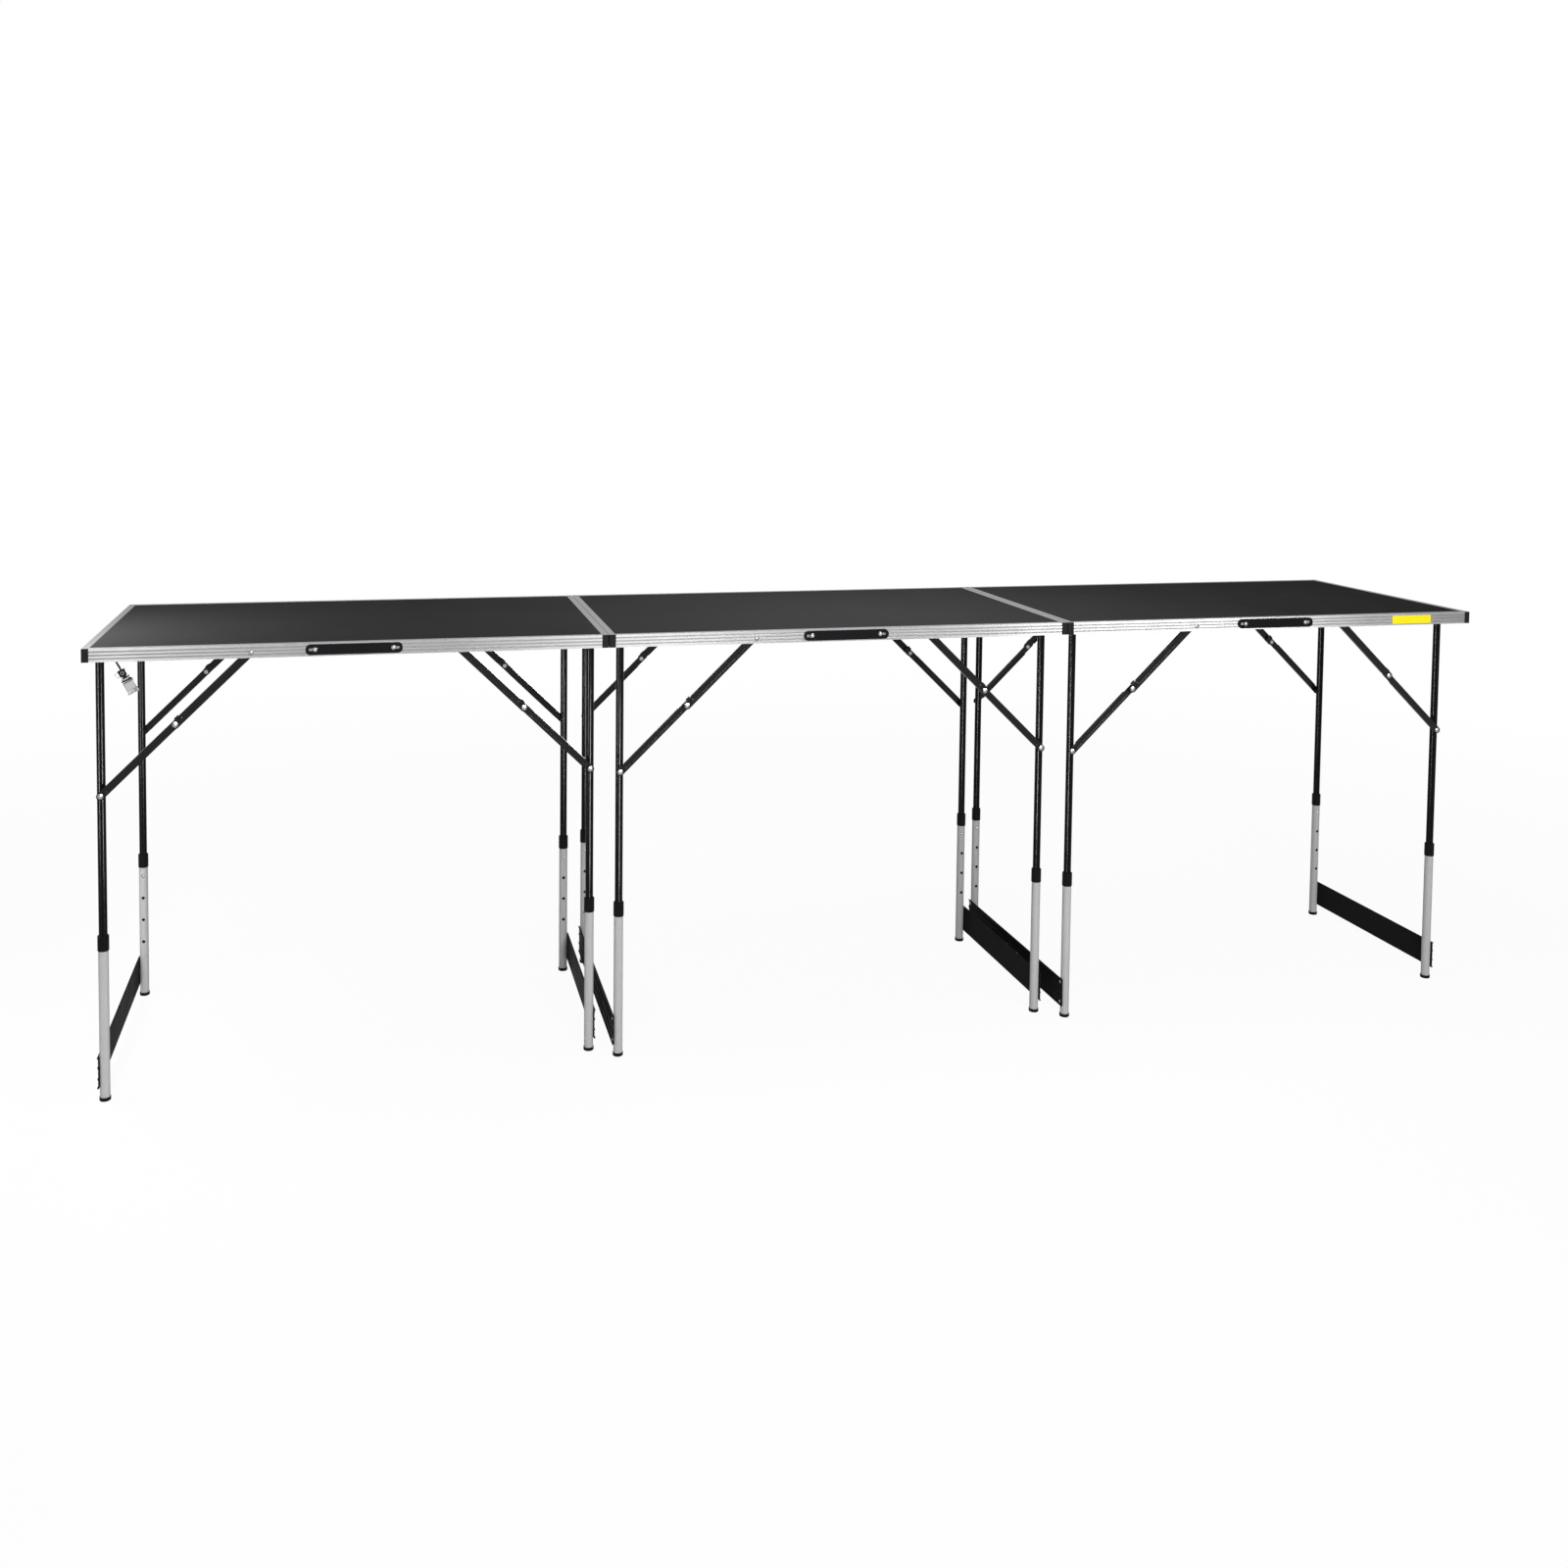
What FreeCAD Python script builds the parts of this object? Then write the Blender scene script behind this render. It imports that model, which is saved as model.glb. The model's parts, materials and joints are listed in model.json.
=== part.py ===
import FreeCAD, Part
import math
import os

os.makedirs("parts", exist_ok=True)
Vector = FreeCAD.Vector

# Three equal tables in a row; each has its own left end, and x runs along the row
table_names = ["left", "mid", "right"]
table_length = 1000.0
table_depth = 600.0
table_height = 885.0
table_gap = 0.8

# Extruded aluminium edge rail
rail_height = 26.0
rail_wall = 1.2
lip_width = 13.5
lip_thickness = 1.0
shelf_width = 9.0
shelf_thickness = 1.0
bottom_lip_width = 9.0
groove_count = 3
groove_width = 3.0
groove_depth = 0.6

# Board: a tongue held under the rail lips and a raised field between them
board_thickness = 3.0
field_rise = 0.7
board_gap = 0.3

# Plugs in the ends of the end rails
plug_thickness = 3.0
plug_gap = 0.2
plug_rounding = 2.0
stub_length = 12.0

# Strap handle on the front rail
handle_length = 184.0
handle_height = 20.5
handle_thickness = 2.6
handle_rounding = 9.2
handle_rounding_limit = 0.45
handle_rivet_inset = 17.75
handle_slot_length = 10.0
handle_slot_half = 2.6
handle_rivet_radius = 2.2
handle_head_radius = 4.6
handle_head_height = 2.4

# Telescopic legs
leg_inset = 27.5
upper_radius = 8.0
upper_wall = 1.2
tube_gap = 0.3
lower_wall = 1.2
tube_head = 6.0
tube_overlap = 25.0

# Height setting
hole_count = 4
hole_spacing = 50.0
top_hole_height = 275.0
button_radius = 3.1
button_gap = 0.4
button_proud = 1.6
button_tip = 1.0
spring_steel = 0.8
spring_half_width = 3.0
spring_seat = 3.0
spring_back = 5.7
spring_above = 22.0
spring_below = 5.0
spring_gap = 0.3

# Collars and feet
collar_wall = 1.25
collar_gap = 0.08
collar_above_hole = 19.0
collar_height = 30.0
collar_cover = 18.0
collar_bevel = 0.9
foot_wall = 1.25
foot_base = 4.0
foot_height = 7.0
foot_bevel = 1.0

# Crossbar on the outer side of each pair of lower legs
crossbar_bottom = 26.0
crossbar_height = 60.0
crossbar_steel = 1.5
crossbar_lip = 3.6
crossbar_rib = 1.2
crossbar_rib_height = 5.0
crossbar_rib_inset = 19.0
crossbar_seat_gap = 0.05
wide_crossbar_hole_radius = 2.8
wide_crossbar_hole_spacing = 60.0
screw_edge = 8.0
screw_radius = 1.9
screw_head_radius = 3.6
screw_head_height = 2.0
screw_reach = 2.0

# Leg brackets and their pins
bracket_steel = 1.5
bracket_side_gap = 0.4
bracket_lip_gap = 1.6
pin_radius = 3.0
pin_head_radius = 5.0
pin_head_height = 1.8
blind_rivet_radius = 1.6
blind_rivet_offset = 5.0
blind_head_radius = 3.0
blind_head_height = 1.2

# Folding braces
brace_reach = 279.5
brace_drop = 272.8
link_steel = 1.5
upper_link_depth = 6.0
upper_link_half = 8.0
lower_link_depth = 5.0
lower_link_half = 7.5
link_gap = 0.3
leg_link_gap = 0.4
rail_link_gap = 7.8
flange_free_end = 18.0
bead_half = 2.6
bead_depth = 0.6
bead_free_end = 16.0
tail_length = 10.0
stop_start = 6.0
stop_length = 10.0
stop_rise = 4.0
stop_gap = 0.4
dimple_distance = 17.0
dimple_radius = 3.0
dimple_height = 1.2
rivet_radius = 2.5
rivet_bush_radius = 4.5
rivet_head_radius = 5.2
rivet_head_height = 2.2
rivet_back_height = 1.0

# Cross strip that carries the narrow braces
strip_half_width = 12.0
strip_thickness = 1.2
ear_gap = 0.4
nest_gap = 4.45

# Clearances
fold_gap = 0.45
running_gap = 0.05
play = 0.2
cut_margin = 1.0

# Latch at the left end of the left table
latch_x = 25.0
latch_y = -160.0
latch_drop = 20.0
latch_slant = 28.0
latch_rod_radius = 2.0
latch_rod_length = 56.0
latch_ear_inner = 4.4
latch_ear_steel = 1.2
latch_ear_radius = 4.5
saddle_half_width = 7.0
saddle_half_depth = 5.0
saddle_top = 52.0
saddle_length = 14.0
saddle_eye_radius = 4.0
saddle_eye_bore = 1.6
saddle_eye_height = 0.8
saddle_eye_depth = 3.0
bail_radius = 5.0
bail_wire = 0.8
knuckle_radius = 3.0
knuckle_drop = 71.0
knuckle_half = 4.0
knuckle_gap = 0.3
lever_pin_radius = 1.5
lever_half_width = 11.0
lever_knuckle_end = 9.0
lever_steel = 1.6
lever_length = 24.0
lever_lip = 10.0
lever_lip_bend = 35.0
lever_bead_drop = 6.9
lever_bead_radius = 1.2
lever_groove = 1.2
lever_groove_depth = 0.5

# Heights above the floor
lip_under = table_height - lip_thickness
shelf_top = lip_under - board_thickness
shelf_under = shelf_top - shelf_thickness
rail_bottom = table_height - rail_height
chamber_bottom = rail_bottom + rail_wall

# Radii and heights of the legs
lower_inner = upper_radius + tube_gap
lower_radius = lower_inner + lower_wall
collar_radius = lower_radius + collar_wall
foot_radius = lower_radius + foot_wall
pivot_height = shelf_top - fold_gap - collar_radius
upper_bottom = top_hole_height - tube_overlap
collar_bottom = top_hole_height + collar_above_hole
lower_top = collar_bottom + collar_cover
collar_top = collar_bottom + collar_height
bracket_ear_radius = pivot_height - chamber_bottom - bracket_lip_gap

# Distances of the brace layers from the leg axis, and of the legs from the middle of the table
lower_link_start = upper_radius + leg_link_gap
lower_link_end = lower_link_start + lower_link_depth
upper_link_start = lower_link_end + link_gap
upper_link_end = upper_link_start + upper_link_depth
ear_start = upper_link_end + ear_gap
ear_end = ear_start + bracket_steel
half_depth = table_depth / 2
wide_leg_y = half_depth - shelf_width - rail_link_gap - upper_link_end
narrow_leg_y = wide_leg_y - collar_radius - nest_gap - rivet_head_height - ear_end

# Brace lengths: straight at rest, and in one line under the board when folded
brace_span = math.hypot(brace_reach, brace_drop)
upper_link_length = (brace_span + brace_reach - brace_drop) / 2
lower_link_length = brace_span - upper_link_length
brace_angle = math.degrees(math.atan2(brace_drop, brace_reach))
brace_pivot_x = leg_inset + brace_reach
leg_rivet_height = pivot_height - brace_drop


def box(x0, x1, y0, y1, z0, z1):
    return Part.makeBox(x1 - x0, y1 - y0, z1 - z0, Vector(x0, y0, z0))


def bar(radius, start, direction, length):
    return Part.makeCylinder(radius, length, start, direction)


def tube(outer, inner, x, y, z0, z1):
    skin = bar(outer, Vector(x, y, z0), Vector(0, 0, 1), z1 - z0)
    core = bar(inner, Vector(x, y, z0), Vector(0, 0, 1), z1 - z0)
    return skin.cut(core)


def prism(points, sweep):
    corners = points + [points[0]]
    return Part.Face(Part.makePolygon(corners)).extrude(sweep)


def turned(points, x, y):
    corners = [Vector(radius, 0, height) for radius, height in points]
    face = Part.Face(Part.makePolygon(corners + [corners[0]]))
    solid = face.revolve(Vector(0, 0, 0), Vector(0, 0, 1), 360)
    solid.translate(Vector(x, y, 0))
    return solid


def stadium(x0, x1, half, y0, y1):
    a = Vector(x0, y0, half)
    b = Vector(x1, y0, half)
    c = Vector(x1, y0, -half)
    d = Vector(x0, y0, -half)
    right = Part.Arc(b, Vector(x1 + half, y0, 0), c).toShape()
    left = Part.Arc(d, Vector(x0 - half, y0, 0), a).toShape()
    upper = Part.LineSegment(a, b).toShape()
    lower = Part.LineSegment(c, d).toShape()
    face = Part.Face(Part.Wire([upper, right, lower, left]))
    return face.extrude(Vector(0, y1 - y0, 0))


def dome(radius, height, start, direction):
    ball = (radius ** 2 + height ** 2) / (2 * height)
    latitude = math.degrees(math.asin((ball - height) / ball))
    cap = Part.makeSphere(ball, Vector(0, 0, height - ball), Vector(0, 0, 1), latitude, 90, 360)
    cap.Placement = FreeCAD.Placement(start, FreeCAD.Rotation(Vector(0, 0, 1), direction))
    return cap


def joined(solids):
    return solids[0].multiFuse(solids[1:]).removeSplitter()


def front_and_back(solid):
    return [solid, solid.mirror(Vector(0, 0, 0), Vector(0, 1, 0))]


def other_end(solid):
    return solid.mirror(Vector(table_length / 2, 0, 0), Vector(1, 0, 0))


def rail_section():
    points = [(0, table_height)]
    pitch = rail_height / (groove_count + 1)
    for index in range(groove_count):
        middle = table_height - pitch * (index + 1)
        points.append((0, middle + groove_width / 2))
        points.append((groove_depth, middle + groove_width / 2 - groove_depth))
        points.append((groove_depth, middle - groove_width / 2 + groove_depth))
        points.append((0, middle - groove_width / 2))
    points.append((0, rail_bottom))
    points.append((bottom_lip_width, rail_bottom))
    points.append((bottom_lip_width, chamber_bottom))
    points.append((rail_wall, chamber_bottom))
    points.append((rail_wall, shelf_under))
    points.append((shelf_width, shelf_under))
    points.append((shelf_width, shelf_top))
    points.append((rail_wall, shelf_top))
    points.append((rail_wall, lip_under))
    points.append((lip_width, lip_under))
    points.append((lip_width, table_height))
    return points


# The strip's rivets stand in the middle of the bottom lip
strip_rivet_y = half_depth - bottom_lip_width / 2
handle_rivet_x = [
    table_length / 2 - handle_length / 2 + handle_rivet_inset,
    table_length / 2 + handle_length / 2 - handle_rivet_inset,
]
handle_middle_height = table_height - rail_height / 2


def long_rail(has_handle):
    corners = [Vector(lip_width, half_depth - inward, height) for inward, height in rail_section()]
    rail = prism(corners, Vector(table_length - 2 * lip_width, 0, 0))
    hole = rivet_radius + running_gap
    start = half_depth - rail_wall - cut_margin
    depth = rail_wall + 2 * cut_margin
    rail = rail.cut(bar(hole, Vector(brace_pivot_x, start, pivot_height), Vector(0, 1, 0), depth))
    strip_x = table_length - brace_pivot_x
    strip_base = Vector(strip_x, strip_rivet_y, rail_bottom - cut_margin)
    rail = rail.cut(bar(blind_rivet_radius + running_gap, strip_base, Vector(0, 0, 1), depth))
    if has_handle:
        for x in handle_rivet_x:
            base = Vector(x, start, handle_middle_height)
            rail = rail.cut(bar(handle_rivet_radius + running_gap, base, Vector(0, 1, 0), depth))
    return rail


def end_rail(leg_y):
    length = table_depth - 2 * plug_thickness
    start = -length / 2
    corners = [Vector(inward, start, height) for inward, height in rail_section()]
    rail = prism(corners, Vector(0, length, 0))
    for side in (-1, 1):
        for offset in (-blind_rivet_offset, blind_rivet_offset):
            base = Vector(-cut_margin, side * leg_y + offset, pivot_height)
            hole = bar(blind_rivet_radius + running_gap, base, Vector(1, 0, 0), rail_wall + 2 * cut_margin)
            rail = rail.cut(hole)
    return rail


def rails():
    back = long_rail(False)
    front = long_rail(True).mirror(Vector(0, 0, 0), Vector(0, 1, 0))
    return [front, back, end_rail(wide_leg_y), other_end(end_rail(narrow_leg_y))]


def board():
    edge_x = rail_wall + board_gap
    edge_y = half_depth - plug_thickness - board_gap
    tongue = box(edge_x, table_length - edge_x, -edge_y, edge_y, shelf_top, lip_under)
    field_x = lip_width + board_gap
    field_y = half_depth - lip_width - board_gap
    field_top = lip_under + field_rise
    field = box(field_x, table_length - field_x, -field_y, field_y, lip_under, field_top)
    return joined([tongue, field])


def end_plug():
    inner = half_depth - plug_thickness
    plate = box(0, lip_width - plug_gap, inner, half_depth, rail_bottom, table_height)
    corner = []
    for edge in plate.Edges:
        middle = edge.CenterOfMass
        if middle.x < plug_gap and middle.y > half_depth - plug_gap:
            corner.append(edge)
    plate = plate.makeFillet(plug_rounding, corner)
    stub = box(rail_wall, bottom_lip_width, inner - stub_length, inner, chamber_bottom, shelf_under)
    return joined([plate, stub])


def end_plugs():
    plugs = front_and_back(end_plug())
    return plugs + [other_end(plug) for plug in plugs]


def handle():
    x0 = table_length / 2 - handle_length / 2
    x1 = table_length / 2 + handle_length / 2
    z0 = handle_middle_height - handle_height / 2
    z1 = handle_middle_height + handle_height / 2
    strap = box(x0, x1, -half_depth - handle_thickness, -half_depth, z0, z1)
    corners = [edge for edge in strap.Edges if abs(edge.tangentAt(edge.FirstParameter).y) > 0.5]
    corner_radius = min(handle_rounding, handle_rounding_limit * handle_height)
    strap = strap.makeFillet(corner_radius, corners)
    y0 = -half_depth - handle_thickness - cut_margin
    y1 = -half_depth + cut_margin
    slot_left = stadium(handle_rivet_x[0] - handle_slot_length, handle_rivet_x[0], handle_slot_half, y0, y1)
    slot_right = stadium(handle_rivet_x[1], handle_rivet_x[1] + handle_slot_length, handle_slot_half, y0, y1)
    slot_left.translate(Vector(0, 0, handle_middle_height))
    slot_right.translate(Vector(0, 0, handle_middle_height))
    return strap.cut(slot_left).cut(slot_right)


def handle_rivet(x):
    face = -half_depth - handle_thickness
    outside = Vector(x, face, handle_middle_height)
    head = dome(handle_head_radius, handle_head_height, outside, Vector(0, -1, 0))
    length = handle_thickness + rail_wall
    shank = bar(handle_rivet_radius, outside, Vector(0, 1, 0), length)
    inside = Vector(x, face + length, handle_middle_height)
    back = dome(handle_head_radius, rivet_back_height, inside, Vector(0, 1, 0))
    return joined([head, shank, back])


def leg_bracket(leg_y):
    inner = upper_radius + bracket_side_gap
    outer = inner + bracket_steel
    z0 = pivot_height - bracket_ear_radius
    z1 = pivot_height + bracket_ear_radius
    pieces = [box(rail_wall, rail_wall + bracket_steel, leg_y - outer, leg_y + outer, z0, z1)]
    for y in (leg_y - outer, leg_y + inner):
        pieces.append(box(rail_wall, leg_inset, y, y + bracket_steel, z0, z1))
        center = Vector(leg_inset, y, pivot_height)
        pieces.append(bar(bracket_ear_radius, center, Vector(0, 1, 0), bracket_steel))
    bracket = joined(pieces)
    start = Vector(leg_inset, leg_y - outer - cut_margin, pivot_height)
    pin_hole = bar(pin_radius + running_gap, start, Vector(0, 1, 0), 2 * outer + 2 * cut_margin)
    bracket = bracket.cut(pin_hole)
    for offset in (-blind_rivet_offset, blind_rivet_offset):
        base = Vector(rail_wall - cut_margin, leg_y + offset, pivot_height)
        hole = bar(blind_rivet_radius + running_gap, base, Vector(1, 0, 0), bracket_steel + 2 * cut_margin)
        bracket = bracket.cut(hole)
    return bracket


def blind_rivet(y, height, plate):
    end = rail_wall + plate
    shank = bar(blind_rivet_radius, Vector(groove_depth, y, height), Vector(1, 0, 0), end - groove_depth)
    head = dome(blind_head_radius, blind_head_height, Vector(end, y, height), Vector(1, 0, 0))
    return joined([shank, head])


def leg_pin(leg_y):
    outer = upper_radius + bracket_side_gap + bracket_steel
    start = Vector(leg_inset, leg_y - outer, pivot_height)
    shank = bar(pin_radius, start, Vector(0, 1, 0), 2 * outer)
    inner_head = dome(pin_head_radius, pin_head_height, start, Vector(0, -1, 0))
    outer_start = Vector(leg_inset, leg_y + outer, pivot_height)
    outer_head = dome(pin_head_radius, pin_head_height, outer_start, Vector(0, 1, 0))
    return joined([shank, inner_head, outer_head])


def brace_rivet(leg_y, head_y, bush_start):
    web_outer = leg_y + upper_link_end + play
    web_inner = leg_y + upper_link_end - link_steel - play
    center = Vector(brace_pivot_x, web_inner, pivot_height)
    shank = bar(rivet_radius, center, Vector(0, 1, 0), head_y - web_inner)
    back = bar(rivet_bush_radius, center, Vector(0, -1, 0), rivet_back_height)
    head_base = Vector(brace_pivot_x, head_y, pivot_height)
    head = dome(rivet_head_radius, rivet_head_height, head_base, Vector(0, 1, 0))
    bush_base = Vector(brace_pivot_x, web_outer, pivot_height)
    bush = bar(rivet_bush_radius, bush_base, Vector(0, 1, 0), bush_start - web_outer)
    return joined([shank, back, head, bush])


def cross_strip():
    x0 = brace_pivot_x - strip_half_width
    x1 = brace_pivot_x + strip_half_width
    end = half_depth - shelf_width
    return box(x0, x1, -end, end, shelf_top - strip_thickness, shelf_top)


def strip_ear():
    y0 = narrow_leg_y + ear_start
    y1 = narrow_leg_y + ear_end
    x0 = brace_pivot_x - bracket_ear_radius
    x1 = brace_pivot_x + bracket_ear_radius
    plate = box(x0, x1, y0, y1, pivot_height, shelf_top - strip_thickness)
    round_end = bar(bracket_ear_radius, Vector(brace_pivot_x, y0, pivot_height), Vector(0, 1, 0), y1 - y0)
    start = Vector(brace_pivot_x, y0 - cut_margin, pivot_height)
    hole = bar(rivet_radius + running_gap, start, Vector(0, 1, 0), y1 - y0 + 2 * cut_margin)
    return joined([plate, round_end]).cut(hole)


def strip_hanger():
    x0 = brace_pivot_x - strip_half_width
    x1 = brace_pivot_x + strip_half_width
    end = half_depth - shelf_width
    inner = end - strip_thickness
    tab = box(x0, x1, inner, end, chamber_bottom, shelf_top - strip_thickness)
    sole = box(x0, x1, inner, half_depth - rail_wall, chamber_bottom, chamber_bottom + strip_thickness)
    base = Vector(brace_pivot_x, strip_rivet_y, chamber_bottom - cut_margin)
    hole = bar(blind_rivet_radius + running_gap, base, Vector(0, 0, 1), strip_thickness + 2 * cut_margin)
    return joined([tab, sole]).cut(hole)


def strip_rivet():
    length = rail_wall + strip_thickness
    bottom = Vector(brace_pivot_x, strip_rivet_y, rail_bottom)
    shank = bar(blind_rivet_radius, bottom, Vector(0, 0, 1), length)
    head = dome(blind_head_radius, blind_head_height, bottom, Vector(0, 0, -1))
    top = Vector(brace_pivot_x, strip_rivet_y, rail_bottom + length)
    back = dome(blind_head_radius, blind_head_height, top, Vector(0, 0, 1))
    return joined([shank, head, back])


def bracket_set(leg_y):
    solids = [leg_bracket(leg_y), leg_pin(leg_y)]
    for offset in (-blind_rivet_offset, blind_rivet_offset):
        solids.append(blind_rivet(leg_y + offset, pivot_height, bracket_steel))
    return solids


def top_hardware():
    solids = []
    for solid in bracket_set(wide_leg_y):
        solids += front_and_back(solid)
    solids += front_and_back(brace_rivet(wide_leg_y, half_depth, half_depth - rail_wall))
    narrow_end = bracket_set(narrow_leg_y)
    narrow_end.append(brace_rivet(narrow_leg_y, narrow_leg_y + ear_end, narrow_leg_y + ear_start))
    narrow_end += [strip_ear(), strip_hanger(), strip_rivet()]
    for solid in narrow_end:
        solids += front_and_back(other_end(solid))
    solids.append(other_end(cross_strip()))
    solids += [handle_rivet(x) for x in handle_rivet_x]
    return solids


def upper_leg(leg_y):
    bore = upper_radius - upper_wall
    leg = tube(upper_radius, bore, leg_inset, leg_y, upper_bottom, pivot_height + tube_head)
    reach = upper_radius + cut_margin
    start = Vector(leg_inset, leg_y - reach, pivot_height)
    leg = leg.cut(bar(pin_radius + running_gap, start, Vector(0, 1, 0), 2 * reach))
    center = Vector(leg_inset, leg_y, top_hole_height)
    return leg.cut(bar(button_radius + button_gap, center, Vector(0, -1, 0), reach))


def lower_leg(leg_y):
    leg = tube(lower_radius, lower_inner, leg_inset, leg_y, foot_base, lower_top)
    reach = lower_radius + cut_margin
    for index in range(hole_count):
        center = Vector(leg_inset, leg_y, top_hole_height - hole_spacing * index)
        leg = leg.cut(bar(button_radius + button_gap, center, Vector(0, -1, 0), reach))
    for height in (crossbar_bottom + screw_edge, crossbar_bottom + crossbar_height - screw_edge):
        center = Vector(leg_inset, leg_y, height)
        leg = leg.cut(bar(screw_radius + running_gap, center, Vector(-1, 0, 0), reach))
    return leg


def collar(leg_y):
    bore = upper_radius + collar_gap
    points = [
        (lower_radius, collar_bottom),
        (collar_radius - collar_bevel, collar_bottom),
        (collar_radius, collar_bottom + collar_bevel),
        (collar_radius, collar_top - collar_bevel),
        (collar_radius - collar_bevel, collar_top),
        (bore, collar_top),
        (bore, lower_top),
        (lower_radius, lower_top),
    ]
    return turned(points, leg_inset, leg_y)


def foot(leg_y):
    points = [
        (0, 0),
        (foot_radius - foot_bevel, 0),
        (foot_radius, foot_bevel),
        (foot_radius, foot_height),
        (lower_radius, foot_height),
        (lower_radius, foot_base),
        (0, foot_base),
    ]
    return turned(points, leg_inset, leg_y)


def crossbar(leg_y, hole_sides):
    inner = lower_radius + crossbar_seat_gap
    plate = inner + crossbar_steel
    lip = inner + crossbar_lip
    rib = plate + crossbar_rib
    z0 = crossbar_bottom
    z1 = crossbar_bottom + crossbar_height
    section = [(inner, z0), (lip, z0), (lip, z0 + crossbar_steel), (plate, z0 + crossbar_steel)]
    for middle in (z0 + crossbar_rib_inset, z1 - crossbar_rib_inset):
        section.append((plate, middle - crossbar_rib_height / 2))
        section.append((rib, middle - crossbar_rib_height / 2 + crossbar_rib))
        section.append((rib, middle + crossbar_rib_height / 2 - crossbar_rib))
        section.append((plate, middle + crossbar_rib_height / 2))
    section += [(plate, z1 - crossbar_steel), (lip, z1 - crossbar_steel), (lip, z1), (inner, z1)]
    end = leg_y + lower_radius
    corners = [Vector(leg_inset - outward, -end, height) for outward, height in section]
    beam = prism(corners, Vector(0, 2 * end, 0))
    length = crossbar_steel + 2 * cut_margin
    for side in (-1, 1):
        for height in (z0 + screw_edge, z1 - screw_edge):
            center = Vector(leg_inset - inner + cut_margin, side * leg_y, height)
            beam = beam.cut(bar(screw_radius + running_gap, center, Vector(-1, 0, 0), length))
    for side in hole_sides:
        center = Vector(leg_inset - inner + cut_margin, side * wide_crossbar_hole_spacing / 2, (z0 + z1) / 2)
        beam = beam.cut(bar(wide_crossbar_hole_radius, center, Vector(-1, 0, 0), length))
    return beam


def crossbar_screw(leg_y, height):
    face = leg_inset - lower_radius - crossbar_seat_gap - crossbar_steel
    length = crossbar_steel + crossbar_seat_gap + lower_wall + screw_reach
    shank = bar(screw_radius, Vector(face, leg_y, height), Vector(1, 0, 0), length)
    head = dome(screw_head_radius, screw_head_height, Vector(face, leg_y, height), Vector(-1, 0, 0))
    return joined([shank, head])


def leg_fittings(leg_y, hole_sides):
    solids = [crossbar(leg_y, hole_sides)]
    solids += front_and_back(collar(leg_y))
    solids += front_and_back(foot(leg_y))
    for height in (crossbar_bottom + screw_edge, crossbar_bottom + crossbar_height - screw_edge):
        solids += front_and_back(crossbar_screw(leg_y, height))
    return solids


def set_link(solid, x, y, height, angle):
    solid.rotate(Vector(0, 0, 0), Vector(0, 1, 0), -angle)
    solid.translate(Vector(x, y, height))
    return solid


def link_plate(length, end_length, half, depth, flange_start, flange_end):
    web = depth - link_steel
    pieces = [stadium(0, length + end_length, half, web, depth)]
    for z in (-half, half - link_steel):
        pieces.append(box(flange_start, flange_end, 0, depth, z, z + link_steel))
    bead_start = bead_free_end
    bead_end = length - bead_free_end
    pieces.append(stadium(bead_start, bead_end, bead_half, web - bead_depth, web))
    plate = joined(pieces)
    plate = plate.cut(stadium(bead_start, bead_end, bead_half, depth - bead_depth, depth + cut_margin))
    for x in (0, length):
        start = Vector(x, web - cut_margin, 0)
        hole = bar(rivet_radius + running_gap, start, Vector(0, 1, 0), link_steel + 2 * cut_margin)
        plate = plate.cut(hole)
    return plate


def upper_link(leg_y):
    length = upper_link_length
    flange_stop = length - flange_free_end
    plate = link_plate(length, 0, upper_link_half, upper_link_depth, flange_free_end, flange_stop)
    spot = Vector(length - dimple_distance, upper_link_depth, 0)
    plate = joined([plate, dome(dimple_radius, dimple_height, spot, Vector(0, 1, 0))])
    return set_link(plate, brace_pivot_x, leg_y + upper_link_start, pivot_height, brace_angle + 180)


def lower_link(leg_y):
    length = lower_link_length
    web = lower_link_depth - link_steel
    flange_end = length - flange_free_end
    plate = link_plate(length, tail_length, lower_link_half, lower_link_depth, flange_free_end, flange_end)
    x0 = length + stop_start
    x1 = x0 + stop_length
    z0 = upper_link_half + stop_gap
    z1 = z0 + link_steel
    foot_z = lower_link_half - link_steel
    tab = box(x0, x1, web, lower_link_depth, foot_z - tail_length / 2, z1)
    stop = box(x0, x1, web, lower_link_depth + stop_rise, z0, z1)
    plate = joined([plate, tab, stop])
    return set_link(plate, leg_inset, leg_y + lower_link_start, leg_rivet_height, brace_angle)


def knee_rivet(leg_y):
    web_inner = lower_link_depth - link_steel
    upper_inner = lower_link_depth + link_gap + upper_link_depth - link_steel
    upper_outer = upper_inner + link_steel + play
    along = Vector(0, 1, 0)
    x = lower_link_length
    pieces = [bar(rivet_radius, Vector(x, web_inner, 0), along, upper_outer - web_inner)]
    pieces.append(bar(rivet_bush_radius, Vector(x, web_inner, 0), Vector(0, -1, 0), rivet_back_height))
    bush_length = upper_inner - play - lower_link_depth
    pieces.append(bar(rivet_bush_radius, Vector(x, lower_link_depth, 0), along, bush_length))
    pieces.append(dome(rivet_head_radius, rivet_head_height, Vector(x, upper_outer, 0), along))
    return set_link(joined(pieces), leg_inset, leg_y + lower_link_start, leg_rivet_height, brace_angle)


def leg_rivet(leg_y):
    web_inner = lower_link_depth - link_steel
    along = Vector(0, 1, 0)
    pieces = [bar(rivet_bush_radius, Vector(0, 0, 0), along, web_inner)]
    pieces.append(bar(rivet_radius, Vector(0, 0, 0), along, lower_link_depth))
    pieces.append(dome(rivet_head_radius, rivet_head_height, Vector(0, lower_link_depth, 0), along))
    return set_link(joined(pieces), leg_inset, leg_y + lower_link_start, leg_rivet_height, brace_angle)


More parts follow.
